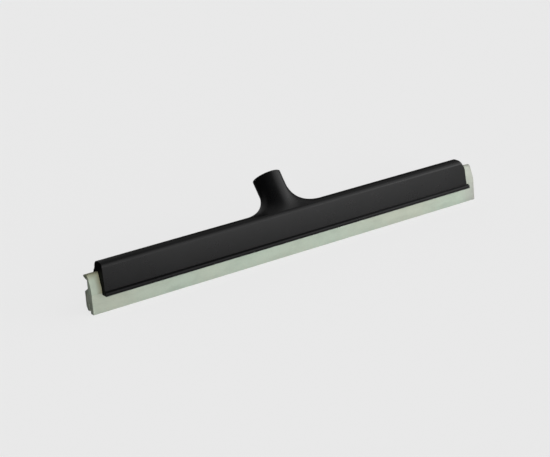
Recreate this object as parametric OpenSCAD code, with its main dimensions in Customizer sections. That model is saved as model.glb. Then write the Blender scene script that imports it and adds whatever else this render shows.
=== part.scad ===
// Floor squeegee head: a moulded frame with a leaning handle socket, and a twin-blade
// cassette that slides in from the end and hangs on a rail inside the frame.
// Millimetres. X runs along the blade, Y to the rear, Z up from the floor.
// The origin is the middle of the front blade's working edge.

/* [Frame] */
// Length of the frame at its foot, without the lips
frame_length = 568.4; // [300:0.1:900]
// How far the frame's middle sits to the left of the blade's middle
frame_shift = 1.9; // [0:0.1:6]
// Gap between the floor and the underside of the lips
lip_clearance = 22.6; // [21:0.1:24]
// Height of the frame from the underside of the lips to the crown
frame_height = 40.4; // [39:0.1:60]
// Wall thickness of the moulding
wall = 2.6; // [1.8:0.1:3.4]
// Distance from the front blade's middle back to the crown's middle
crown_y = 0.5; // [-1:0.1:3]
// Radius of the crown across the frame
crown_r = 18; // [15:0.1:20]
// Inside radius of the long front edge
inner_edge_r = 0.6; // [0.3:0.1:1.2]
// Outward lean of the front wall, in degrees
front_lean = 4.2; // [2:0.1:8]
// Radius of the bowed rear wall
rear_wall_r = 50; // [42:1:90]
// How much the right end leans in, from the foot to the crown
right_draft = 1.5; // [0.2:0.1:4]
// How much the left end leans in, from the foot to the crown
left_draft = 0.3; // [0.2:0.1:4]
// Corner radius of the crown at the right end
right_corner_r = 20; // [4:0.5:22]
// Corner radius of the crown at the left end
left_corner_r = 3; // [3:0.5:12]

/* [Lips and ribs] */
// How far each lip stands out from its wall
lip_out = 3.4; // [1.5:0.1:6]
// Height of the upright face of a lip
lip_h = 3.8; // [2:0.1:6]
// How far each lip runs past the end of the frame
lip_past_end = 0.4; // [0.1:0.1:3]
// Number of cross ribs between the two end walls
rib_count = 13; // [5:1:19]
// Thickness of a cross rib
rib_t = 2; // [1.2:0.1:3]
// How far the ribs stop above the underside of the lips
rib_lift = 2.5; // [1:0.1:6]

/* [Handle socket] */
// Outside diameter of the socket
socket_d = 37.8; // [35:0.1:40]
// Diameter of the handle bore
bore_d = 25; // [20:0.5:28]
// Depth of the handle bore
bore_depth = 46; // [30:1:50]
// Length of the socket along its axis, from the level of the crown line to its mouth
socket_length = 39.8; // [36:0.1:60]
// Lean of the socket to the rear, from upright, in degrees
socket_tilt = 38; // [34:0.5:42]
// Sideways place of the socket, from the frame's middle
socket_x = -10.1; // [-40:0.1:40]
// How far behind the crown's middle the socket's axis meets the crown line
socket_back = 20.3; // [18:0.1:24]
// Reach of the socket's blend along the frame, to each side
blend_side = 45; // [20:1:52]
// Reach of the socket's blend up the socket, at its sides
blend_rise = 37; // [14:1:38]
// Rounding of the socket's mouth
mouth_round = 1.2; // [0.5:0.1:2]

/* [Cassette] */
// Length of the cassette and its blades
cassette_length = 600; // [400:1:950]
// Thickness of the front blade
front_blade_t = 6.5; // [5.5:0.1:8]
// Height of the front blade
front_blade_h = 24.5; // [24:0.1:25.5]
// Thickness of the rear blade
rear_blade_t = 7.5; // [6:0.1:8]
// Gap under the rear blade when the front blade meets the floor
rear_blade_lift = 2.5; // [1:0.1:5]
// How much the rear blade thins towards its lower edge
rear_blade_relief = 3; // [0.5:0.1:4]
// Height of the slope that thins the rear blade
rear_relief_h = 5; // [2:0.1:8]
// Thickness of the carrier's web between the blades
web_t = 2.4; // [1.6:0.1:3]
// Depth of the open slit between the blades
slit_h = 12; // [6:0.5:18]
// Depth of the carrier at its shoulder, from the front face to the back of the neck
neck_t = 8.4; // [8:0.1:9.5]
// Height of the neck between the carrier's shoulder and its hook
neck_h = 11.1; // [10:0.1:12]
// Backward lean of the neck's front, in degrees
neck_lean = 26; // [18:1:28]
// Radius that turns the upright front face into the leaning neck
lean_r = 18; // [12:1:24]
// Height of the carrier's shoulder over the rear blade
shoulder_h = 1.5; // [1.2:0.1:2.5]
// Rise of the shoulder from its rear edge up to the neck
shoulder_rise = 5.5; // [4:0.1:6]
// Thickness of the hook at its tip
hook_tip_t = 1.8; // [1:0.1:2.2]
// Thickness of the hook over the rail
hook_t = 5.9; // [5:0.1:6.5]
// How far the hook's tip lies below its top
tip_drop = 2.3; // [1.5:0.1:3]
// Rounding of the hook's front
head_round = 1.5; // [0.5:0.1:2]
// Thickness of the rail that the hook hangs on
rail_t = 2.4; // [1.6:0.1:3]

/* [Fits] */
// Running gap between the cassette and the frame
slide_gap = 0.35; // [0.25:0.05:0.6]

/* [Hidden] */
$fn = 64;
frame_color = [0.09, 0.09, 0.1];
carrier_color = [0.72, 0.76, 0.69];
front_foam_color = [0.70, 0.75, 0.67];
rear_foam_color = [0.66, 0.70, 0.62];
past = 1;                // how far a cutting shape runs past what it cuts
lip_z = lip_clearance;
top_z = lip_z + frame_height;
edge_r = wall + inner_edge_r;
arc_steps = 9;

// Angles on the crown, seen from the left end: 90 is straight up, more is to the front
front_tangent = 111;
rear_tangent = 38;
crown_centre = [crown_y, top_z - crown_r];
edge_centre = crown_centre + (crown_r - edge_r) * heading(front_tangent);
rear_centre = crown_centre + (crown_r - rear_wall_r) * heading(rear_tangent);
lip_top = lip_z + lip_h + lip_out * 0.5;

function heading(a) = [cos(a), sin(a)];
function arc(centre, r, from, to, steps) =
    [for (i = [0:steps]) centre + r * heading(from + (to - from) * i / steps)];

// The frame's cross-section from the foot of the front wall over the crown to the foot of
// the rear wall, moved inwards by inset and cut off at height z_low
function front_wall_y(z, inset) =
    let (top = edge_centre + (edge_r - inset) * heading(180 - front_lean))
    top[0] - (top[1] - z) * tan(front_lean);
function rear_foot_angle(z, inset) = asin((z - rear_centre[1]) / (rear_wall_r - inset));
function skin(inset, z_low) = concat(
    [[front_wall_y(z_low, inset), z_low]],
    arc(edge_centre, edge_r - inset, 180 - front_lean, front_tangent, 3),
    arc(crown_centre, crown_r - inset, front_tangent, rear_tangent, arc_steps),
    arc(rear_centre, rear_wall_r - inset, rear_tangent, rear_foot_angle(z_low, inset), arc_steps)
);
rear_foot_y = rear_centre[0] + rear_wall_r * cos(rear_foot_angle(lip_top, 0));
front_foot_y = front_wall_y(lip_top, 0);

// Cassette levels and places, from the front blade upwards and back
face_y = -front_blade_t / 2;
blade_back_y = face_y + front_blade_t;
web_back_y = blade_back_y + web_t;
rear_blade_back_y = web_back_y + rear_blade_t;
neck_back_y = face_y + neck_t;
shoulder_z = front_blade_h + shoulder_h;
neck_z = shoulder_z + shoulder_rise;
hook_z = neck_z + neck_h;
head_top = hook_z + hook_t;
hook_tip_y = rear_blade_back_y + slide_gap;
tip_top = head_top - tip_drop;
lean_centre = [face_y + lean_r, shoulder_z];
lean_end = lean_centre + lean_r * heading(180 - neck_lean);
hook_bend_y = neck_back_y + slide_gap + rail_t + slide_gap;
rail_front = neck_back_y + slide_gap;

// Front of the leaning neck at height z, moved outwards by gap
function neck_front(z, gap) =
    lean_end[0] + (z - lean_end[1]) * tan(neck_lean) - gap / cos(neck_lean);

// Socket: its axis leans back from the point where it crosses the crown line
axis_dir = [sin(socket_tilt), cos(socket_tilt)];
side_dir = [-cos(socket_tilt), sin(socket_tilt)];
axis_foot = [crown_y + socket_back, top_z];
mouth = axis_foot + socket_length * axis_dir;
socket_r = socket_d / 2;
ring_points = 48;
blend_steps = 8;
blend_sink = 0.5;
blend_front = 6;
blend_front_rise = 15;
blend_rear = 5;
blend_rear_rise = 5;

// Lays a cross-section drawn in Y and Z along X, about the middle x
module along_x(length, x = 0) {
    translate([x, 0, 0])
        rotate([90, 0, 90])
            linear_extrude(length, center = true)
                children();
}

// Outline of the frame seen from the front, moved inwards by inset
module front_outline(inset) {
    foot = frame_length / 2 - inset;
    right = foot - right_draft;
    left = foot - left_draft;
    crown = top_z - inset;
    right_r = right_corner_r - inset;
    left_r = max(left_corner_r - inset, 0.2);
    polygon(concat(
        [[-foot, lip_z - past], [foot, lip_z - past]],
        arc([right - right_r, crown - right_r], right_r, 0, 90, 12),
        arc([left_r - left, crown - left_r], left_r, 90, 180, 4)
    ));
}

module front_prism(inset) {
    depth = 4 * rear_foot_y;
    translate([0, depth / 2, 0])
        rotate([90, 0, 0])
            linear_extrude(depth)
                front_outline(inset);
}

// One lip on the wall foot at y, standing out towards side (-1 front, 1 rear)
module lip_section(y, side) {
    root = y - side * wall / 2;
    edge = y + side * lip_out;
    nose = 0.6;
    bite = 0.4;               // how far the lip's sloped top runs into the wall
    polygon([
        [root, lip_z],
        [edge - side * nose, lip_z],
        [edge, lip_z + nose],
        [edge, lip_z + lip_h - nose / 2],
        [edge - side * nose / 2, lip_z + lip_h],
        [y - side * bite, lip_top + bite / 2],
        [root, lip_top + bite / 2]
    ]);
}

// Rail for the hook, with the web that carries it from the rear wall
module rail_section() {
    rail_low = neck_z + slide_gap;
    rail_high = hook_z - slide_gap;
    web_z = (rail_low + rail_high) / 2;
    translate([rail_front, rail_low])
        square([rail_t, rail_high - rail_low]);
    translate([rail_front, web_z - rail_t / 2])
        square([rear_foot_y - rail_front, rail_t]);
}

// Room that the cassette needs in the ribs and end walls
module channel_section() {
    g = slide_gap;
    polygon(concat(
        [[face_y - g, -past]],
        arc(lean_centre, lean_r + g, 180, 180 - neck_lean, 5),
        [
            [neck_front(head_top + g, g), head_top + g],
            [hook_tip_y + g, head_top + g],
            [hook_tip_y + g, tip_top - hook_tip_t - 2 * g],
            [hook_bend_y, hook_z - g],
            [rail_front, hook_z - g],
            [rail_front, neck_z + g],
            [rear_blade_back_y + g, shoulder_z + g],
            [rear_blade_back_y + g, -past]
        ]
    ));
}

// Empty bays between the ribs, open below
module bays() {
    half = frame_length / 2 - wall;
    pitch = 2 * half / (rib_count + 1);
    intersection() {
        for (i = [0:rib_count])
            along_x(pitch - rib_t, -half + (i + 0.5) * pitch)
                difference() {
                    polygon(skin(wall, lip_z - past));
                    rail_section();
                }
        front_prism(wall);
    }
    along_x(2 * half - 2 * right_draft)
        intersection() {
            polygon(skin(wall, lip_z - past));
            translate([front_foot_y - lip_out, lip_z - 2 * past])
                square([rear_foot_y - front_foot_y + 2 * lip_out, rib_lift + 2 * past]);
        }
}

// Height on the socket's axis and distance across it of a point of the cross-section
function along_axis(p) = (p - axis_foot) * axis_dir;
function across_axis(p) = (p - axis_foot) * side_dir;

// The skin as a track from front to rear: distance travelled, against place
track = skin(0, lip_z);
function travelled(i) = i == 0 ? 0 : travelled(i - 1) + norm(track[i] - track[i - 1]);
track_s = [for (i = [0:len(track) - 1]) travelled(i)];
track_end = track_s[len(track) - 1];
track_y = [for (i = [0:len(track) - 1]) [track_s[i], track[i][0]]];
track_z = [for (i = [0:len(track) - 1]) [track_s[i], track[i][1]]];
// Behind the front edge the distance across the axis only falls, so its sign is turned for lookup
function top_of_edge(i) = across_axis(track[i + 1]) < across_axis(track[i]) ? i : top_of_edge(i + 1);
track_across = [for (i = [top_of_edge(0):len(track) - 1]) [-across_axis(track[i]), track_s[i]]];
function on_track(s) = [lookup(s, track_y), lookup(s, track_z)];
function track_normal(s) =
    let (step = on_track(s + 0.5) - on_track(s - 0.5))
    [-step[1], step[0]] / norm(step);

// Widest share of a side, front or rear reach at angle a round the socket
function reach(a, side, front, rear) =
    side * pow(cos(a), 2) + (sin(a) > 0 ? front : rear) * pow(sin(a), 2);

// Points from the mouth down the socket at angle a and out along the skin
function socket_line(a) =
    let (
        u = socket_x + socket_r * cos(a),
        offset = socket_r * sin(a),
        hit_s = lookup(-offset, track_across),
        hit = on_track(hit_s),
        rise = reach(a, blend_rise, blend_front_rise, blend_rear_rise),
        end_s = min(hit_s - sin(a) * (sin(a) > 0 ? blend_front : blend_rear), track_end - 1),
        end_x = u + blend_side * cos(a),
        sunk = on_track(end_s) - blend_sink * track_normal(end_s),
        deep = on_track(end_s) - wall * 0.6 * track_normal(end_s),
        start = [u, hit[0] + rise * axis_dir[0], hit[1] + rise * axis_dir[1]],
        bend = [u, hit[0], hit[1]],
        end = [end_x, sunk[0], sunk[1]]
    )
    concat(
        [for (t = [0:blend_steps])
            let (k = t / blend_steps)
            (1 - k) * (1 - k) * start + 2 * k * (1 - k) * bend + k * k * end],
        [[end_x, deep[0], deep[1]]]
    );

// A point of the mouth's rounded edge at angle a: in from the outside, down from the mouth
function mouth_point(a, in, down) =
    let (c = mouth - down * axis_dir + (socket_r - in) * sin(a) * side_dir)
    [socket_x + (socket_r - in) * cos(a), c[0], c[1]];

function socket_strip(a) = concat(
    [for (t = [0:2])
        mouth_point(a, mouth_round * (1 - sin(t * 45)), mouth_round * (1 - cos(t * 45)))],
    socket_line(a)
);

// Socket body and its blend: one closed strip of points per angle round the axis
module socket_body() {
    strips = [for (i = [0:ring_points - 1]) socket_strip(360 * i / ring_points)];
    rows = len(strips[0]);
    points = concat(
        [for (strip = strips) for (p = strip) p],
        [[socket_x, mouth[0], mouth[1]]],
        [[socket_x, crown_centre[0] + wall, crown_centre[1]]]
    );
    top_hub = ring_points * rows;
    low_hub = top_hub + 1;
    faces = concat(
        [for (i = [0:ring_points - 1]) for (j = [0:rows - 2])
            let (a = i * rows + j, b = (i + 1) % ring_points * rows + j)
            [a, b + 1, b]],
        [for (i = [0:ring_points - 1]) for (j = [0:rows - 2])
            let (a = i * rows + j, b = (i + 1) % ring_points * rows + j)
            [a, a + 1, b + 1]],
        [for (i = [0:ring_points - 1])
            [top_hub, i * rows, (i + 1) % ring_points * rows]],
        [for (i = [0:ring_points - 1])
            [low_hub, (i + 1) % ring_points * rows + rows - 1, i * rows + rows - 1]]
    );
    polyhedron(points, faces);
}

// Handle bore with its lead-in, drilled down the socket's axis from the mouth
module handle_bore() {
    lead = 1.5;
    translate([socket_x, mouth[0], mouth[1]])
        rotate([-socket_tilt, 0, 0]) {
            translate([0, 0, -bore_depth])
                cylinder(h = bore_depth + past, d = bore_d);
            translate([0, 0, -lead])
                cylinder(h = lead + past, d1 = bore_d, d2 = bore_d + 2 * (lead + past));
        }
}

module frame() {
    color(frame_color)
        translate([-frame_shift, 0, 0])
            difference() {
                union() {
                    intersection() {
                        along_x(frame_length + 2 * past)
                            polygon(skin(0, lip_z));
                        front_prism(0);
                    }
                    along_x(frame_length + 2 * lip_past_end) {
                        lip_section(front_foot_y, -1);
                        lip_section(rear_foot_y, 1);
                    }
                    socket_body();
                }
                bays();
                along_x(frame_length + 2 * lip_past_end + 2 * past)
                    channel_section();
                handle_bore();
            }
}

// Stiff carrier: shoulders and web that grip the blades, a leaning neck, and the hook
module cassette_carrier() {
    color(carrier_color)
        along_x(cassette_length)
            polygon(concat(
                [[face_y, front_blade_h]],
                arc(lean_centre, lean_r, 180, 180 - neck_lean, 5),
                [
                    [neck_front(head_top - head_round, 0), head_top - head_round],
                    [neck_front(head_top, 0) + head_round, head_top],
                    [hook_tip_y - hook_tip_t / 2, tip_top],
                    [hook_tip_y, tip_top - hook_tip_t / 2],
                    [hook_tip_y, tip_top - hook_tip_t],
                    [hook_bend_y, hook_z],
                    [neck_back_y, hook_z],
                    [neck_back_y, neck_z],
                    [rear_blade_back_y, shoulder_z],
                    [rear_blade_back_y, front_blade_h],
                    [web_back_y, front_blade_h],
                    [web_back_y, slit_h],
                    [blade_back_y, slit_h],
                    [blade_back_y, front_blade_h]
                ]
            ));
}

module front_blade() {
    color(front_foam_color)
        along_x(cassette_length)
            translate([face_y, 0])
                square([front_blade_t, front_blade_h]);
}

// The rear blade stops short of the floor and thins towards its lower edge
module rear_blade() {
    color(rear_foam_color)
        along_x(cassette_length)
            polygon([
                [web_back_y, rear_blade_lift],
                [rear_blade_back_y - rear_blade_relief, rear_blade_lift],
                [rear_blade_back_y, rear_blade_lift + rear_relief_h],
                [rear_blade_back_y, front_blade_h],
                [web_back_y, front_blade_h]
            ]);
}

frame();
cassette_carrier();
front_blade();
rear_blade();
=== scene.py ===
import math

import bmesh
import bpy
import numpy as np
from mathutils import Matrix, Vector


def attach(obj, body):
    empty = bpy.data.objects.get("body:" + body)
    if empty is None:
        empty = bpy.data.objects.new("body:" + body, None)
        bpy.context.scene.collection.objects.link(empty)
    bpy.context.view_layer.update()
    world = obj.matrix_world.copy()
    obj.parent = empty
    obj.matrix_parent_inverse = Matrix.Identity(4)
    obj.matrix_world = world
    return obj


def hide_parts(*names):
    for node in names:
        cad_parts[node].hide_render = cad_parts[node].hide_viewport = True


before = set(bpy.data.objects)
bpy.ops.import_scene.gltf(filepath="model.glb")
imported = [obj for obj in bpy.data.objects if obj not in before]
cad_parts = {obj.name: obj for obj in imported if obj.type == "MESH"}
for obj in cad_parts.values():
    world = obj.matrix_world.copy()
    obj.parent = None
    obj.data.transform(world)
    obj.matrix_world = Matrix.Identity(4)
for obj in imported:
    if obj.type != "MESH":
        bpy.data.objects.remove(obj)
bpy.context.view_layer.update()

MM = 0.001

# Sizes are in millimetres and angles in degrees, and most are those of the part's source. The
# cover's front edge, ends and draft, the neck's lean and the hook differ from it, because they
# were fitted to the photograph more closely here. SOCKET_R is a little less than the source's, so
# that the rounded mouth stays inside the solids' box

# The cover
FRAME_LENGTH = 568.4
FRAME_SHIFT = 1.9
LIP_Z = 22.6
TOP_Z = 63.0
WALL = 2.6
CROWN_Y = 0.5
CROWN_R = 18.0
EDGE_R = 6.0
FRONT_LEAN = 4.2
REAR_R = 50.0
RIGHT_DRAFT = 1.9
LEFT_DRAFT = 0.3
RIGHT_R = 17.5
LEFT_R = 1.2
FRONT_TANGENT = 102.75
REAR_TANGENT = 38.0

# Rounding of the upright end edges by side, where 1 is the right end. At the left end the rear
# edge is rounded more, growing over ROUND_DEPTH below ROUND_FROM
END_ROUND = {-1: 0.6, 1: 3.7}
LEFT_REAR_ROUND = 8.0
ROUND_FROM = 62.0
ROUND_DEPTH = 7.0
ROUND_STEPS = 10

# Lips and ribs
LIP_OUT = 3.4
LIP_H = 3.8
LIP_PAST_END = 0.4
LIP_BEVEL = 0.55
RIBS = 13
RIB_T = 2.0
RIB_LIFT = 2.5

# The handle socket. Its bore opens to the mouth by a flare with rounded edges
SOCKET_R = 18.88
SOCKET_LENGTH = 39.8
SOCKET_TILT = 38.0
SOCKET_X = -12.0
SOCKET_BACK = 20.3
SOCKET_RING = 160
MOUTH_ROUND = 1.2
BORE_R = 12.5
BORE_DEPTH = 46.0
BORE_CHAMFER = 0.6
FLARE = 1.7
FLARE_DEPTH = 1.9
FLARE_ROUND = 0.9
RIM_ROUND = 0.7
BLEND_SIDE = 45.0
BLEND_RISE = 37.0
BLEND_FRONT = 6.0
BLEND_FRONT_RISE = 15.0
BLEND_REAR = 5.0
BLEND_REAR_RISE = 5.0
BLEND_STEPS = 26
BLEND_SINK = 0.05
SKIRT_SINK = 1.6

# The cassette. Its right end is cut out of square, by CUT_SLANT for each millimetre of height
CASSETTE = 600.0
CUT_SLANT = 0.045
FRONT_T = 6.5
FRONT_H = 24.5
REAR_T = 7.5
REAR_LIFT = 2.5
REAR_RELIEF = 3.0
REAR_RELIEF_H = 5.0
WEB_T = 2.4
SLIT_H = 12.0
NECK_T = 8.4
NECK_H = 11.1
NECK_LEAN = 18.0
LEAN_R = 24.0
SHOULDER_H = 1.5
SHOULDER_RISE = 5.5
HOOK_T = 6.7
HOOK_TIP_T = 2.3
TIP_DROP = 2.2
TIP_EASE = 0.8
TIP_FALL = 0.05
BEND_EASE = 1.6
BEND_RISE = 0.75
HOOK_EASE = 0.4
HEAD_ROUND = 3.6
RAIL_T = 2.4
CARRIER_BEVEL = 0.12
FRONT_BEVEL = 0.3
REAR_BEVEL = 0.4

# Running gap between the cassette and the frame, and how far the cutting shapes reach
GAP = 0.35
CUT_REACH = 320.0


def heading(a):
    return np.array([math.cos(math.radians(a)), math.sin(math.radians(a))])


def arc(centre, r, start, end, steps):
    return [centre + r * heading(start + (end - start) * i / steps) for i in range(steps + 1)]


CROWN_C = np.array([CROWN_Y, TOP_Z - CROWN_R])
EDGE_C = CROWN_C + (CROWN_R - EDGE_R) * heading(FRONT_TANGENT)
REAR_C = CROWN_C + (CROWN_R - REAR_R) * heading(REAR_TANGENT)
LIP_TOP = LIP_Z + LIP_H + LIP_OUT * 0.5


def front_wall_y(z, inset=0.0):
    top = EDGE_C + (EDGE_R - inset) * heading(180 - FRONT_LEAN)
    return top[0] - (top[1] - z) * math.tan(math.radians(FRONT_LEAN))


def rear_foot_angle(z, inset=0.0):
    return math.degrees(math.asin((z - REAR_C[1]) / (REAR_R - inset)))


def rear_wall_y(z, inset=0.0):
    return REAR_C[0] + (REAR_R - inset) * math.cos(math.radians(rear_foot_angle(z, inset)))


def skin(inset, z_low, edge_steps=14, crown_steps=30, rear_steps=26):
    """The cover's section from the front wall's foot over the crown to the rear one's."""
    return (
        [np.array([front_wall_y(z_low, inset), z_low])]
        + arc(EDGE_C, EDGE_R - inset, 180 - FRONT_LEAN, FRONT_TANGENT, edge_steps)
        + arc(CROWN_C, CROWN_R - inset, FRONT_TANGENT, REAR_TANGENT, crown_steps)[1:]
        + arc(REAR_C, REAR_R - inset, REAR_TANGENT, rear_foot_angle(z_low, inset), rear_steps)[1:]
    )


REAR_FOOT_Y = rear_wall_y(LIP_TOP)
FRONT_FOOT_Y = front_wall_y(LIP_TOP)

# Cassette levels
FACE_Y = -FRONT_T / 2
BLADE_BACK = FACE_Y + FRONT_T
WEB_BACK = BLADE_BACK + WEB_T
REAR_BACK = WEB_BACK + REAR_T
NECK_BACK = FACE_Y + NECK_T
SHOULDER_Z = FRONT_H + SHOULDER_H
NECK_Z = SHOULDER_Z + SHOULDER_RISE
HOOK_Z = NECK_Z + NECK_H
HEAD_TOP = HOOK_Z + HOOK_T
HOOK_TIP_Y = REAR_BACK + GAP
TIP_TOP = HEAD_TOP - TIP_DROP
LEAN_C = np.array([FACE_Y + LEAN_R, SHOULDER_Z])
LEAN_END = LEAN_C + LEAN_R * heading(180 - NECK_LEAN)
RAIL_FRONT = NECK_BACK + GAP
HOOK_BEND_Y = RAIL_FRONT + RAIL_T + GAP


def neck_front(z, gap=0.0):
    lean = math.radians(NECK_LEAN)
    return LEAN_END[0] + (z - LEAN_END[1]) * math.tan(lean) - gap / math.cos(lean)


AXIS = np.array([math.sin(math.radians(SOCKET_TILT)), math.cos(math.radians(SOCKET_TILT))])
SIDE = np.array([-AXIS[1], AXIS[0]])
AXIS_FOOT = np.array([CROWN_Y + SOCKET_BACK, TOP_Z])
MOUTH = AXIS_FOOT + SOCKET_LENGTH * AXIS


def end_x(z, side, inset=0.0):
    """How far out the end wall is at height z: side 1 is the right end, -1 the left."""
    r = max((RIGHT_R if side > 0 else LEFT_R) - inset, 0.2)
    draft = RIGHT_DRAFT if side > 0 else LEFT_DRAFT
    top = FRAME_LENGTH / 2 - draft - inset
    crown = TOP_Z - inset
    if z > crown - r:
        dz = min(z - (crown - r), r)
        return top - r + math.sqrt(max(r * r - dz * dz, 0.0))
    span = crown - r - (LIP_Z - 1)
    return top + draft * (crown - r - z) / span


def make_object(name, points, faces, smooth_angle=32):
    """A mesh object from points in millimetres, with its normals turned outwards."""
    mesh = bpy.data.meshes.new(name)
    mesh.from_pydata([tuple(p * MM for p in point) for point in points], [], faces)
    o = bpy.data.objects.new(name, mesh)
    bpy.context.scene.collection.objects.link(o)
    b = bmesh.new()
    b.from_mesh(mesh)
    bmesh.ops.remove_doubles(b, verts=b.verts, dist=1e-7)
    bmesh.ops.recalc_face_normals(b, faces=b.faces)
    b.to_mesh(mesh)
    b.free()
    shade(o, smooth_angle)
    return o


def shade(o, angle):
    """Smooth shading, with edges sharp where the surface bends by more than the angle."""
    mesh = o.data
    b = bmesh.new()
    b.from_mesh(mesh)
    limit = math.radians(angle)
    for face in b.faces:
        face.smooth = True
    for edge in b.edges:
        edge.smooth = len(edge.link_faces) == 2 and edge.calc_face_angle(0.0) < limit
    b.to_mesh(mesh)
    b.free()


def prism(name, section, x0, x1, smooth_angle=32):
    """A closed section drawn out from x0 to x1, which are numbers or functions of height."""

    def at(x, z):
        return x(z) if callable(x) else x

    n = len(section)
    points = [(at(x0, p[1]), p[0], p[1]) for p in section]
    points += [(at(x1, p[1]), p[0], p[1]) for p in section]
    faces = [list(range(n)), list(range(2 * n - 1, n - 1, -1))]
    faces += [(i, i + n, (i + 1) % n + n, (i + 1) % n) for i in range(n)]
    return make_object(name, points, faces, smooth_angle)


def apply_modifiers(o):
    graph = bpy.context.evaluated_depsgraph_get()
    mesh = bpy.data.meshes.new_from_object(o.evaluated_get(graph))
    o.modifiers.clear()
    o.data = mesh


def bevel(o, width, segments=3, angle=30):
    m = o.modifiers.new("edges", "BEVEL")
    m.width = width * MM
    m.segments = segments
    m.limit_method = "ANGLE"
    m.angle_limit = math.radians(angle)
    m.use_clamp_overlap = True
    m.harden_normals = False
    apply_modifiers(o)


def cut(o, tool):
    """Takes the tool's shape out of the object, and deletes the tool."""
    m = o.modifiers.new("cut", "BOOLEAN")
    m.operation = "DIFFERENCE"
    m.solver = "EXACT"
    m.object = tool
    apply_modifiers(o)
    bpy.data.objects.remove(tool)


# The cover: crowned, drafted, with rounded end edges. Its section is sampled evenly below
# WALL_TOP, and no two levels lie nearer than LEAST_STEP
WALL_TOP = 58.9
LEAST_STEP = 0.04


def cover_levels():
    """Heights at which the cover's section is sampled, from the ridge down."""
    crown = np.arange(90, REAR_TANGENT, -2.5)
    zs = [CROWN_C[1] + CROWN_R * math.sin(math.radians(a)) for a in crown]
    zs += [p[1] for p in arc(EDGE_C, EDGE_R, FRONT_TANGENT, 180 - FRONT_LEAN, 12)]
    zs += list(np.linspace(WALL_TOP, LIP_Z - 2, 30))
    zs = sorted(set(round(z, 3) for z in zs), reverse=True)
    kept = [zs[0]]
    for z in zs[1:]:
        if kept[-1] - z > LEAST_STEP:
            kept.append(z)
    return kept


def section_point(z, front):
    """Point and outward normal of the section at height z on its front or rear side."""
    if front:
        edge_low = EDGE_C[1] + EDGE_R * math.sin(math.radians(180 - FRONT_LEAN))
        edge_high = EDGE_C[1] + EDGE_R * math.sin(math.radians(FRONT_TANGENT))
        if z >= edge_high:
            a = 180 - math.degrees(math.asin(min((z - CROWN_C[1]) / CROWN_R, 1)))
            return CROWN_C + CROWN_R * heading(a), heading(a)
        if z >= edge_low:
            a = 180 - math.degrees(math.asin((z - EDGE_C[1]) / EDGE_R))
            return EDGE_C + EDGE_R * heading(a), heading(a)
        return np.array([front_wall_y(z), z]), heading(180 - FRONT_LEAN)
    low = CROWN_C[1] + CROWN_R * math.sin(math.radians(REAR_TANGENT))
    if z >= low:
        a = math.degrees(math.asin(min((z - CROWN_C[1]) / CROWN_R, 1)))
        return CROWN_C + CROWN_R * heading(a), heading(a)
    a = rear_foot_angle(z)
    return REAR_C + REAR_R * heading(a), heading(a)


def build_cover():
    """The cover as a solid, its section stepped round the edge of each end."""
    levels = cover_levels()
    front = [section_point(z, True) for z in levels]
    rear = [section_point(z, False) for z in levels]
    n = len(levels)
    loop = [front[i] for i in range(n - 1, 0, -1)] + rear
    m = len(loop)
    low = levels[-1]
    points, rows = [], []
    for side in END_ROUND:
        for k in range(ROUND_STEPS + 1):
            t = math.pi / 2 * k / ROUND_STEPS
            row = []
            for j, (p, normal) in enumerate(loop):
                edge = END_ROUND[side]
                if side < 0 and j >= n - 1:
                    share = min(max((ROUND_FROM - p[1]) / ROUND_DEPTH, 0), 1)
                    edge += (LEFT_REAR_ROUND - edge) * share
                full = p - edge * normal
                x_edge = end_x(full[1], side)
                q = p - edge * (1 - math.cos(t)) * normal
                x = x_edge - edge * (1 - math.sin(t))
                z = low if j in (0, m - 1) else q[1]
                row.append(len(points))
                points.append((side * x, q[0], z))
            rows.append(row)
    left, right = rows[: ROUND_STEPS + 1], rows[ROUND_STEPS + 1 :]
    chain = left[::-1] + right
    faces = []
    for a, b in zip(chain, chain[1:]):
        for j in range(m - 1):
            faces.append((a[j], a[j + 1], b[j + 1], b[j]))
    # End walls in strips between the front and rear points of one level, then the underside
    top = n - 1
    for row in (chain[0], chain[-1]):
        for d in range(1, n):
            f0, f1 = row[top - d + 1], row[top - d]
            r0, r1 = row[top + d - 1], row[top + d]
            faces.append((f0, f1, r1) if d == 1 else (f0, f1, r1, r0))
    faces.append([row[0] for row in chain] + [row[-1] for row in chain[::-1]])
    return make_object("frame_body", points, faces)


def rail_outline():
    """The bay's section inside the wall, less the hook rail and its web from the rear."""
    low = LIP_Z - 3
    inner = skin(WALL, low)
    rail_low = NECK_Z + GAP
    rail_high = HOOK_Z - GAP
    web_z = (rail_low + rail_high) / 2
    out = [p for p in inner if p[0] < CROWN_Y or p[1] > web_z + RAIL_T / 2]
    out += [
        (rear_wall_y(web_z + RAIL_T / 2, WALL), web_z + RAIL_T / 2),
        (RAIL_FRONT + RAIL_T, web_z + RAIL_T / 2),
        (RAIL_FRONT + RAIL_T, rail_high),
        (RAIL_FRONT, rail_high),
        (RAIL_FRONT, rail_low),
        (RAIL_FRONT + RAIL_T, rail_low),
        (RAIL_FRONT + RAIL_T, web_z - RAIL_T / 2),
        (rear_wall_y(web_z - RAIL_T / 2, WALL), web_z - RAIL_T / 2),
    ]
    out += [p for p in inner if p[0] > CROWN_Y and p[1] < web_z - RAIL_T / 2]
    return out


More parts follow.
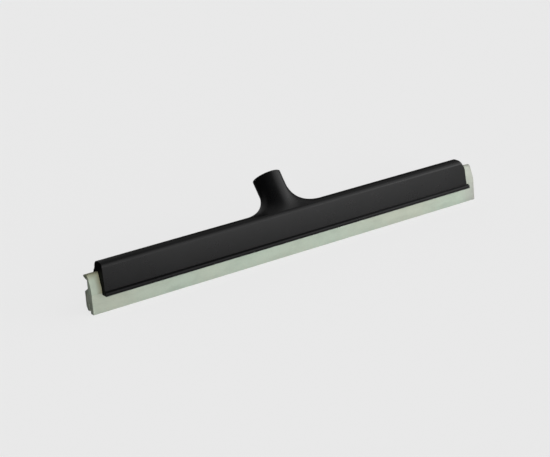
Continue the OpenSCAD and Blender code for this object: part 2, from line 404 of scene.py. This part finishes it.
def channel_outline():
    """Room for the cassette: its section with the running gap all round."""
    low = LIP_Z - 4
    return [(FACE_Y - GAP, low)] + arc(LEAN_C, LEAN_R + GAP, 180, 180 - NECK_LEAN, 12) + [
        (neck_front(HEAD_TOP + GAP, GAP), HEAD_TOP + GAP),
        (HOOK_TIP_Y + GAP, HEAD_TOP + GAP),
        (HOOK_TIP_Y + GAP, TIP_TOP - HOOK_TIP_T - 2 * GAP),
        (HOOK_BEND_Y, HOOK_Z - GAP),
        (RAIL_FRONT, HOOK_Z - GAP),
        (RAIL_FRONT, NECK_Z + GAP),
        (REAR_BACK + GAP, SHOULDER_Z + GAP),
        (REAR_BACK + GAP, low),
    ]


def left_inside(z):
    return -end_x(z, -1, WALL)


def right_inside(z):
    return end_x(z, 1, WALL)


def hollow_out(body):
    """Cuts the bays between the ribs, the room under the ribs and the cassette's channel."""
    half = FRAME_LENGTH / 2 - WALL
    pitch = 2 * half / (RIBS + 1)
    section = rail_outline()
    for i in range(RIBS + 1):
        x0 = left_inside if i == 0 else -half + i * pitch + RIB_T / 2
        x1 = right_inside if i == RIBS else -half + (i + 1) * pitch - RIB_T / 2
        cut(body, prism("bay", section, x0, x1))
    inner = half - 2
    low = LIP_Z - 3
    high = LIP_Z + RIB_LIFT
    slab = [
        (front_wall_y(low, WALL), low),
        (front_wall_y(high, WALL), high),
        (rear_wall_y(high, WALL), high),
        (rear_wall_y(low, WALL), low),
    ]
    cut(body, prism("slab", slab, -inner, inner))
    cut(body, prism("channel", channel_outline(), -CUT_REACH, CUT_REACH))
    # What is left below the underside of the lips
    below = [(-60, LIP_Z - 8), (-60, LIP_Z), (80, LIP_Z), (80, LIP_Z - 8)]
    cut(body, prism("below", below, -CUT_REACH, CUT_REACH))
    shade(body, 28)


def shift_frame(o):
    o.data.transform(Matrix.Translation((-FRAME_SHIFT * MM, 0, 0)))


body = build_cover()
hollow_out(body)
shift_frame(body)


def lip(name, y, side):
    """The lip on the wall's foot at y, standing out to the front (side -1) or the rear (1)."""
    root = y - side * WALL / 2
    edge = y + side * LIP_OUT
    section = [
        (root, LIP_Z),
        (edge, LIP_Z),
        (edge, LIP_Z + LIP_H),
        (y, LIP_TOP),
        (root, LIP_TOP),
    ]
    half = FRAME_LENGTH / 2 + LIP_PAST_END
    o = prism(name, section, -half, half)
    bevel(o, LIP_BEVEL, 4)
    shade(o, 35)
    shift_frame(o)
    return o


front_lip = lip("front_lip", FRONT_FOOT_Y, -1)
rear_lip = lip("rear_lip", REAR_FOOT_Y, 1)


# The socket and its blend into the cover. TRACK is the cover's section as a path from front to
# rear, TRACK_S the distance along it and ACROSS its distance from the socket's axis
TRACK = np.array(skin(0, LIP_Z, 20, 60, 60))
TRACK_S = np.concatenate([[0], np.cumsum(np.linalg.norm(np.diff(TRACK, axis=0), axis=1))])
ACROSS = (TRACK - AXIS_FOOT) @ SIDE
PEAK = int(np.argmax(ACROSS))


def on_track(s):
    return np.array([np.interp(s, TRACK_S, TRACK[:, 0]), np.interp(s, TRACK_S, TRACK[:, 1])])


def track_normal(s):
    step = on_track(s + 0.5) - on_track(s - 0.5)
    return np.array([-step[1], step[0]]) / np.linalg.norm(step)


def build_socket():
    """Columns of points at each angle round the axis, from the bore's floor to the skirt."""
    columns = []
    for i in range(SOCKET_RING):
        a = 2 * math.pi * i / SOCKET_RING
        c, s = math.cos(a), math.sin(a)
        column = []

        def at(depth, r):
            p = MOUTH - depth * AXIS + r * s * SIDE
            return (SOCKET_X + r * c, p[0], p[1])

        column.append(at(BORE_DEPTH, BORE_R - BORE_CHAMFER))
        column.append(at(BORE_DEPTH - BORE_CHAMFER, BORE_R))
        for depth in np.linspace(BORE_DEPTH - 4, 3, 8):
            column.append(at(depth, BORE_R))
        for k in range(4):
            t = math.radians(45 * k / 3)
            r = BORE_R + FLARE_ROUND * (1 - math.cos(t))
            column.append(at(FLARE_DEPTH - FLARE_ROUND * math.sin(t), r))
        for k in range(5):
            t = math.radians(45 + 45 * k / 4)
            r = BORE_R + FLARE - RIM_ROUND * math.cos(t)
            column.append(at(RIM_ROUND * (1 - math.sin(t)), r))
        for k in range(8):
            t = math.pi / 2 * k / 7
            r = SOCKET_R - MOUTH_ROUND * (1 - math.sin(t))
            column.append(at(MOUTH_ROUND * (1 - math.cos(t)), r))
        u = SOCKET_X + SOCKET_R * c
        hit_s = float(np.interp(-SOCKET_R * s, -ACROSS[PEAK:], TRACK_S[PEAK:]))
        hit = on_track(hit_s)
        c2, s2 = c * c, s * s
        rise = BLEND_RISE * c2 + (BLEND_FRONT_RISE if s > 0 else BLEND_REAR_RISE) * s2
        reach = BLEND_FRONT if s > 0 else BLEND_REAR
        end_s = min(hit_s - s * reach, TRACK_S[-1] - 1)
        foot = on_track(end_s) - BLEND_SINK * track_normal(end_s)
        start = np.array([u, hit[0] + rise * AXIS[0], hit[1] + rise * AXIS[1]])
        bend = np.array([u, hit[0], hit[1]])
        end = np.array([u + BLEND_SIDE * c, foot[0], foot[1]])
        top = np.array(column[-1])
        for k in (0.25, 0.5, 0.75):
            column.append(tuple(top + k * (start - top)))
        for k in np.linspace(0, 1, BLEND_STEPS):
            column.append(tuple((1 - k) ** 2 * start + 2 * k * (1 - k) * bend + k * k * end))
        deep = on_track(end_s) - SKIRT_SINK * track_normal(end_s)
        column.append((end[0], deep[0], deep[1]))
        columns.append(column)
    rows = len(columns[0])
    points = [p for column in columns for p in column]
    hub = MOUTH - BORE_DEPTH * AXIS
    points.append((SOCKET_X, hub[0], hub[1]))
    faces = []
    for i in range(SOCKET_RING):
        i2 = (i + 1) % SOCKET_RING
        faces.append((i * rows, i2 * rows, len(points) - 1))
        for j in range(rows - 1):
            faces.append((i * rows + j, i * rows + j + 1, i2 * rows + j + 1, i2 * rows + j))
    return make_object("socket", points, faces, 50)


socket = build_socket()


# The cassette
def cut_end(z):
    return CASSETTE / 2 - CUT_SLANT * z


def build_carrier():
    corner = np.array([neck_front(HEAD_TOP - HEAD_ROUND), HEAD_TOP - HEAD_ROUND])
    knee = np.array([neck_front(HEAD_TOP), HEAD_TOP])
    crest = knee + [HEAD_ROUND, 0]
    section = [(FACE_Y, FRONT_H)] + arc(LEAN_C, LEAN_R, 180, 180 - NECK_LEAN, 16)
    for t in np.linspace(0, 1, 9):
        section.append((1 - t) ** 2 * corner + 2 * t * (1 - t) * knee + t * t * crest)
    section += [
        (HOOK_TIP_Y - TIP_EASE, TIP_TOP - TIP_FALL),
        (HOOK_TIP_Y, TIP_TOP - TIP_EASE),
        (HOOK_TIP_Y, TIP_TOP - HOOK_TIP_T),
        (HOOK_BEND_Y + BEND_EASE, HOOK_Z + BEND_RISE),
        (HOOK_BEND_Y - HOOK_EASE, HOOK_Z),
        (NECK_BACK + HOOK_EASE, HOOK_Z),
        (NECK_BACK, HOOK_Z - HOOK_EASE),
        (NECK_BACK, NECK_Z),
        (REAR_BACK, SHOULDER_Z),
        (REAR_BACK, FRONT_H),
        (WEB_BACK, FRONT_H),
        (WEB_BACK, SLIT_H),
        (BLADE_BACK, SLIT_H),
        (BLADE_BACK, FRONT_H),
    ]
    o = prism("carrier", section, -CASSETTE / 2, cut_end)
    bevel(o, CARRIER_BEVEL, 2, 40)
    shade(o, 35)
    return o


def build_blade(name, section, edge):
    o = prism(name, section, -CASSETTE / 2, cut_end)
    bevel(o, edge, 3)
    shade(o, 35)
    return o


carrier = build_carrier()
front_blade = build_blade(
    "front_foam",
    [(FACE_Y, 0), (BLADE_BACK, 0), (BLADE_BACK, FRONT_H), (FACE_Y, FRONT_H)],
    FRONT_BEVEL,
)
rear_blade = build_blade(
    "rear_foam",
    [
        (WEB_BACK, REAR_LIFT),
        (REAR_BACK - REAR_RELIEF, REAR_LIFT),
        (REAR_BACK, REAR_LIFT + REAR_RELIEF_H),
        (REAR_BACK, FRONT_H),
        (WEB_BACK, FRONT_H),
    ],
    REAR_BEVEL,
)


# Materials
class Nodes:
    """Short names for building a node tree."""

    def __init__(self, tree):
        self.tree = tree

    def add(self, kind, **values):
        node = self.tree.nodes.new(kind)
        for key, value in values.items():
            if key in node.inputs:
                node.inputs[key].default_value = value
            else:
                setattr(node, key, value)
        return node

    def link(self, a, out, b, into):
        self.tree.links.new(a.outputs[out], b.inputs[into])


def material(name):
    m = bpy.data.materials.new(name)
    m.use_nodes = True
    m.node_tree.nodes.clear()
    n = Nodes(m.node_tree)
    shader = n.add("ShaderNodeBsdfPrincipled")
    out = n.add("ShaderNodeOutputMaterial")
    n.link(shader, "BSDF", out, "Surface")
    where = n.add("ShaderNodeTexCoord")
    return m, n, shader, where


def ramp(n, source, out, stops):
    """A color ramp, its stops given as (position, color) in rising order."""
    node = n.add("ShaderNodeValToRGB")
    e = node.color_ramp.elements
    e[0].position, e[0].color = stops[0][0], (*stops[0][1], 1)
    e[1].position, e[1].color = stops[-1][0], (*stops[-1][1], 1)
    for position, color in stops[1:-1]:
        x = e.new(position)
        x.color = (*color, 1)
    n.link(source, out, node, "Fac")
    return node


def grey_ramp(n, source, out, stops):
    return ramp(n, source, out, [(position, (level,) * 3) for position, level in stops])


def map_range(n, source, out, low, high, to_low=0.0, to_high=1.0):
    node = n.add("ShaderNodeMapRange")
    node.inputs["From Min"].default_value = low
    node.inputs["From Max"].default_value = high
    node.inputs["To Min"].default_value = to_low
    node.inputs["To Max"].default_value = to_high
    n.link(source, out, node, "Value")
    return node


def split(n, where, out="Object"):
    node = n.add("ShaderNodeSeparateXYZ")
    n.link(where, out, node, "Vector")
    return node


def noise(n, source, out, scale, detail, roughness):
    node = n.add("ShaderNodeTexNoise", Scale=scale, Detail=detail, Roughness=roughness)
    n.link(source, out, node, "Vector")
    return node


def combine(n, kind, a, a_out, b, b_out):
    node = n.add("ShaderNodeMath", operation=kind)
    n.link(a, a_out, node, 0)
    n.link(b, b_out, node, 1)
    return node


# Places of the two colors and the result among a color mix node's sockets
MIX_A, MIX_B, MIX_OUT = 6, 7, 2


def multiply(n, a, a_out, b):
    """The color of a times that of the ramp b."""
    node = n.add("ShaderNodeMix", data_type="RGBA", blend_type="MULTIPLY")
    node.inputs["Factor"].default_value = 1.0
    n.link(a, a_out, node, MIX_A)
    n.link(b, "Color", node, MIX_B)
    return node


def relief(n, shader, source, out, strength, distance):
    node = n.add("ShaderNodeBump", Strength=strength, Distance=distance)
    n.link(source, out, node, "Height")
    n.link(node, "Normal", shader, "Normal")


def right_end_shade(n, where, color):
    """The mixed color, made a little darker and greyer at the cassette's right end by painted
    shade.
    """
    near = map_range(n, split(n, where), "X", 0.272, 0.300)
    # Painted shade: darker and greyer towards the cassette's right end
    end_shade = ramp(n, near, "Result", [(0.0, (1.0, 1.0, 1.0)), (1.0, (0.85, 0.76, 0.83))])
    return multiply(n, color, MIX_OUT, end_shade)


def black_plastic():
    m, n, shader, where = material("black_plastic")
    # Broad, faint change of tone along the moulding, as from the flow of the plastic
    broad = noise(n, where, "Object", 14.0, 3.0, 0.5)
    dark, light = (0.003, 0.003, 0.0032), (0.005, 0.005, 0.0053)
    tone = ramp(n, broad, "Fac", [(0.3, dark), (0.7, light)])
    n.link(tone, "Color", shader, "Base Color")
    # Faces turned to the left, the left end above all, reflect less than the rest, which keeps
    # them dark: painted shade in the finish
    facing = split(n, where, "Normal")
    gloss = map_range(n, facing, "X", -0.95, -0.55, 0.03, 0.26)
    n.link(gloss, "Result", shader, "Specular IOR Level")
    rough = noise(n, where, "Object", 60.0, 4.0, 0.6)
    level = map_range(n, rough, "Fac", 0.3, 0.7, 0.26, 0.32)
    n.link(level, "Result", shader, "Roughness")
    # Fine eroded grain of the mould
    grain = noise(n, where, "Object", 2600.0, 2.0, 0.55)
    relief(n, shader, grain, "Fac", 0.25, 0.00008)
    return m


def foam(name, light, dark):
    m, n, shader, where = material(name)
    # Mottling a few millimetres across, drawn out along the blade as it is sliced
    stretch = n.add("ShaderNodeMapping")
    stretch.inputs["Scale"].default_value = (0.45, 1, 1)
    n.link(where, "Object", stretch, "Vector")
    mottle = noise(n, stretch, "Vector", 95.0, 5.0, 0.62)
    lightest = tuple(c * 1.03 for c in light)
    tone = ramp(n, mottle, "Fac", [(0.30, dark), (0.52, light), (0.75, lightest)])
    # Slow drift of hue along the strip, cooler in places and warmer in others
    drift = noise(n, where, "Object", 9.0, 1.0, 0.4)
    hue = ramp(n, drift, "Fac", [(0.35, (0.96, 1.0, 0.99)), (0.65, (1.03, 0.985, 0.97))])
    tinted = multiply(n, tone, "Color", hue)
    # Open pores, darkened inside by painted shade
    cells = n.add("ShaderNodeTexVoronoi", Scale=1500.0, Randomness=1.0)
    n.link(where, "Object", cells, "Vector")
    hole = map_range(n, cells, "Distance", 0.10, 0.42)
    shadow = ramp(n, hole, "Result", [(0.0, (0.80, 0.80, 0.78)), (1.0, (1, 1, 1))])
    pored = multiply(n, tinted, MIX_OUT, shadow)
    n.link(right_end_shade(n, where, pored), MIX_OUT, shader, "Base Color")
    fine = noise(n, where, "Object", 900.0, 3.0, 0.6)
    height = combine(n, "ADD", hole, "Result", fine, "Fac")
    relief(n, shader, height, "Value", 0.35, 0.00018)
    shader.inputs["Roughness"].default_value = 0.88
    shader.inputs["Specular IOR Level"].default_value = 0.25
    return m


def carrier_plastic():
    m, n, shader, where = material("carrier_plastic")
    mottle = noise(n, where, "Object", 70.0, 4.0, 0.6)
    tone = ramp(n, mottle, "Fac", [(0.3, (0.44, 0.50, 0.41)), (0.7, (0.495, 0.565, 0.46))])
    # Brownish painted shade at the left: the frame end's shadow beside it, and shade on top of
    # the head
    place = split(n, where)
    along = map_range(n, place, "X", -0.295, -0.275)
    beside = grey_ramp(n, along, "Result", [(0.1, 0.0), (0.45, 0.6), (1.0, 0.0)])
    upward = map_range(n, place, "Z", 0.042, 0.049, 0.0, 0.5)
    leftward = map_range(n, place, "X", -0.28, -0.12, 1.0, 0.0)
    head = combine(n, "MULTIPLY", upward, "Result", leftward, "Result")
    # Mask of the painted shade, the larger of the two
    painted_shade = combine(n, "MAXIMUM", beside, "Color", head, "Value")
    shaded = n.add("ShaderNodeMix", data_type="RGBA", blend_type="MIX")
    n.link(painted_shade, "Value", shaded, "Factor")
    n.link(tone, "Color", shaded, MIX_A)
    # The brown of the painted shade
    shaded.inputs[MIX_B].default_value = (0.23, 0.175, 0.05, 1)
    n.link(right_end_shade(n, where, shaded), MIX_OUT, shader, "Base Color")
    fine = noise(n, where, "Object", 1800.0, 2.0, 0.5)
    relief(n, shader, fine, "Fac", 0.2, 0.0001)
    shader.inputs["Roughness"].default_value = 0.7
    shader.inputs["Specular IOR Level"].default_value = 0.35
    return m


black = black_plastic()
foam_front = foam("front_foam", (0.50, 0.568, 0.478), (0.455, 0.518, 0.436))
foam_rear = foam("rear_foam", (0.46, 0.51, 0.43), (0.41, 0.455, 0.38))
carrier_look = carrier_plastic()

for o, look, cad_body, slot_name in (
    (body, black, "frame", "black_plastic"),
    (front_lip, black, "frame", "black_plastic"),
    (rear_lip, black, "frame", "black_plastic"),
    (socket, black, "frame", "black_plastic"),
    (carrier, carrier_look, "cassette", "carrier_plastic"),
    (front_blade, foam_front, "cassette", "front_foam"),
    (rear_blade, foam_rear, "cassette", "rear_foam"),
):
    o.data.materials.clear()
    o.data.materials.append(look)
    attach(o, cad_body)

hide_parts("frame")
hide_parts("cassette_carrier")
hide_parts("front_blade")
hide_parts("rear_blade")


# Floor, backdrop and light. The floor reaches FLOOR_HALF metres to each side
PALE = 0.807
GLOW = 0.90
FLOOR_LIGHT = 2.35
FLOOR_HALF = 8.0
LIT_SHARE = 0.16

# What the object gets back from the floor by its place, where 0 is 1 m to the left or in front
# of the origin and 1 is 1 m to the right or behind it: more on the right, where the key stands,
# and little from behind
FLOOR_ALONG = [(0.32, 0.25), (0.41, 0.63), (0.52, 0.94), (0.60, 1.0), (0.71, 1.0), (0.77, 0.4)]
FLOOR_ACROSS = [(0.34, 1.0), (0.40, 0.62), (0.45, 0.27), (0.50, 0.07)]


def floor_material():
    m = bpy.data.materials.new("floor")
    m.use_nodes = True
    m.node_tree.nodes.clear()
    n = Nodes(m.node_tree)
    out = n.add("ShaderNodeOutputMaterial")
    path = n.add("ShaderNodeLightPath")
    where = n.add("ShaderNodeTexCoord")
    # What the camera sees: mostly its own pale glow, and some light that the object shades
    glow = n.add("ShaderNodeEmission", Color=(GLOW, GLOW, GLOW, 1), Strength=1.0)
    lit = n.add("ShaderNodeBsdfDiffuse", Color=(PALE, PALE, PALE, 1))
    plain = n.add("ShaderNodeMixShader")
    plain.inputs[0].default_value = LIT_SHARE
    n.link(glow, "Emission", plain, 1)
    n.link(lit, "BSDF", plain, 2)
    # What the object gets back
    place = split(n, where)
    along = map_range(n, place, "X", -1.0, 1.0)
    across = map_range(n, place, "Y", -1.0, 1.0)
    side = grey_ramp(n, along, "Result", FLOOR_ALONG)
    front = grey_ramp(n, across, "Result", FLOOR_ACROSS)
    under = n.add("ShaderNodeEmission", Strength=FLOOR_LIGHT)
    n.link(multiply(n, side, "Color", front), MIX_OUT, under, "Color")
    seen = n.add("ShaderNodeMixShader")
    n.link(path, "Is Camera Ray", seen, 0)
    n.link(under, "Emission", seen, 1)
    n.link(plain, "Shader", seen, 2)
    n.link(seen, "Shader", out, "Surface")
    return m


b = bmesh.new()
bmesh.ops.create_grid(b, x_segments=4, y_segments=4, size=FLOOR_HALF)
floor_mesh = bpy.data.meshes.new("floor")
b.to_mesh(floor_mesh)
b.free()
floor = bpy.data.objects.new("floor", floor_mesh)
floor.data.materials.append(floor_material())
bpy.context.scene.collection.objects.link(floor)

# The studio's two bright patches: the direction of each, and its brightness by the cosine of the
# angle from that direction
KEY = Vector((0.80, -0.60, 0.05)).normalized()
TOP = Vector((0.50, 0.25, 0.80)).normalized()
KEY_STOPS = [(0.1, 0.006), (0.5, 0.05), (0.8, 0.82), (0.95, 1.0)]
TOP_STOPS = [(0.75, 0.0), (0.97, 1.0)]


def build_world():
    world = bpy.data.worlds.new("studio")
    world.use_nodes = True
    world.node_tree.nodes.clear()
    n = Nodes(world.node_tree)
    out = n.add("ShaderNodeOutputWorld")
    path = n.add("ShaderNodeLightPath")
    where = n.add("ShaderNodeTexCoord")

    def patch(direction, stops, strength):
        towards = n.add("ShaderNodeVectorMath", operation="DOT_PRODUCT")
        towards.inputs[1].default_value = direction
        n.link(where, "Generated", towards, 0)
        level = grey_ramp(n, towards, "Value", stops)
        shine = n.add("ShaderNodeBackground", Strength=strength)
        n.link(level, "Color", shine, "Color")
        return shine

    beside = patch(KEY, KEY_STOPS, 1.75)
    above = patch(TOP, TOP_STOPS, 0.26)
    light = n.add("ShaderNodeAddShader")
    n.link(beside, "Background", light, 0)
    n.link(above, "Background", light, 1)
    pale = n.add("ShaderNodeBackground", Color=(PALE, PALE, PALE, 1), Strength=1.0)
    mix = n.add("ShaderNodeMixShader")
    n.link(path, "Is Camera Ray", mix, 0)
    n.link(light, "Shader", mix, 1)
    n.link(pale, "Background", mix, 2)
    n.link(mix, "Shader", out, "Surface")
    bpy.context.scene.world = world


build_world()


def soft_sun(name, towards, energy, angle):
    """A sun that stands in the direction towards, its disc angle degrees across."""
    light = bpy.data.lights.new(name, "SUN")
    light.energy = energy
    light.angle = math.radians(angle)
    o = bpy.data.objects.new(name, light)
    o.rotation_euler = Vector(towards).to_track_quat("Z", "Y").to_euler()
    bpy.context.scene.collection.objects.link(o)


soft_sun("key", KEY, 0.55, 35)
soft_sun("fill", (-0.26, -1.0, 0.10), 2.0, 30)
soft_sun("rear", (-0.35, 0.85, 0.35), 0.55, 90)

# Camera fitted to the photograph, whose width is PHOTO_WIDTH pixels
PHOTO_WIDTH = 550
SENSOR_WIDTH = 36.0
CAM_TURN = math.radians(34.074)
CAM_DOWN = math.radians(19.714)
CAM_ROLL = math.radians(3.446)
CAM_PLACE = (-1.031564, -1.475249, 0.678636)
FOCAL_PIXELS = 1500.0

forward = Vector(
    (
        math.sin(CAM_TURN) * math.cos(CAM_DOWN),
        math.cos(CAM_TURN) * math.cos(CAM_DOWN),
        -math.sin(CAM_DOWN),
    )
)
level = Vector((math.cos(CAM_TURN), -math.sin(CAM_TURN), 0))
upright = level.cross(forward)
right = math.cos(CAM_ROLL) * level - math.sin(CAM_ROLL) * upright
up = math.cos(CAM_ROLL) * upright + math.sin(CAM_ROLL) * level
camera = bpy.data.cameras.new("camera")
camera.sensor_fit = "HORIZONTAL"
camera.sensor_width = SENSOR_WIDTH
camera.lens = FOCAL_PIXELS / PHOTO_WIDTH * SENSOR_WIDTH
camera.clip_end = 50
camera_object = bpy.data.objects.new("camera", camera)
turn = Matrix((right, up, -forward)).transposed()
camera_object.matrix_world = Matrix.Translation(CAM_PLACE) @ turn.to_4x4()
bpy.context.scene.collection.objects.link(camera_object)
bpy.context.scene.camera = camera_object

bpy.context.scene.view_settings.view_transform = "Standard"
